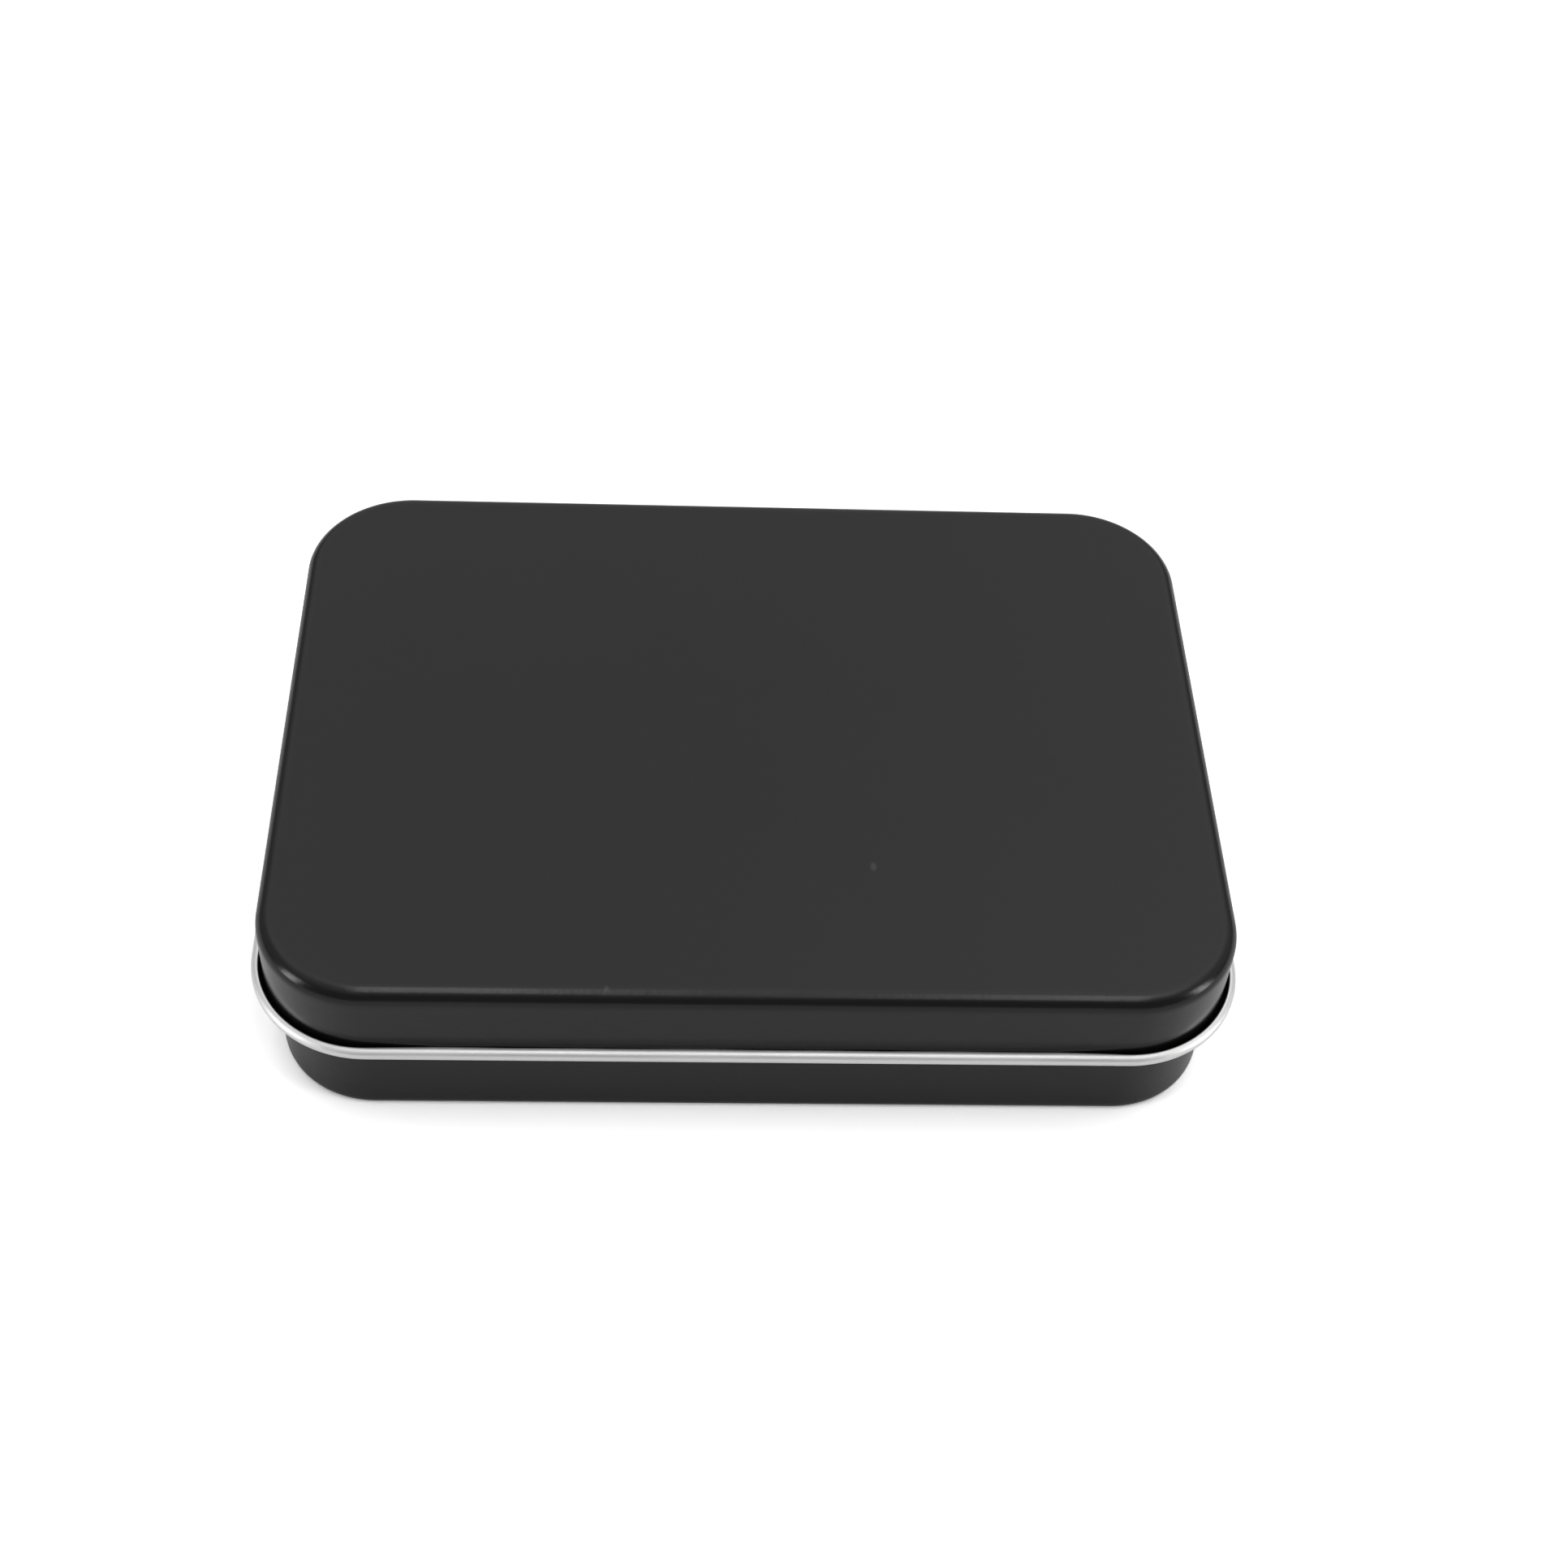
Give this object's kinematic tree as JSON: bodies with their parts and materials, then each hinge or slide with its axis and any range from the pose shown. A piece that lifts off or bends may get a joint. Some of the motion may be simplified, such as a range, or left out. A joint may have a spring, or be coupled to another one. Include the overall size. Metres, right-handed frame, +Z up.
{
  "type": "card game tin with hinged lid",
  "caption": "Rectangular pressed tinplate box with rounded corners, a black lid with an outward rolled bare-metal hem, and a lid hinged at the back on wire pins.",
  "frame": {"origin": "centre of the footprint, on the surface the tin stands on", "axes": "+X to the right along the length, +Y to the rear where the hinge is, +Z up through the lid"},
  "size_m": [0.115, 0.085, 0.023],
  "materials": {
    "black_paint": "satin black enamel over tinplate; the rolled hem and the inside are bare bright tinplate",
    "pin_wire": "bright drawn steel wire"
  },
  "bodies": {
    "tray": {"tray": "black_paint", "hinge_pin_left": "pin_wire", "hinge_pin_right": "pin_wire"},
    "lid": {"lid": "black_paint"}
  },
  "joints": [
    {"name": "lid_hinge", "type": "hinge", "parent": "tray", "child": "lid", "pos_m": [0, 0.0417, 0.01345], "axis": [-1, 0, 0], "range_deg": [0, 115]}
  ]
}
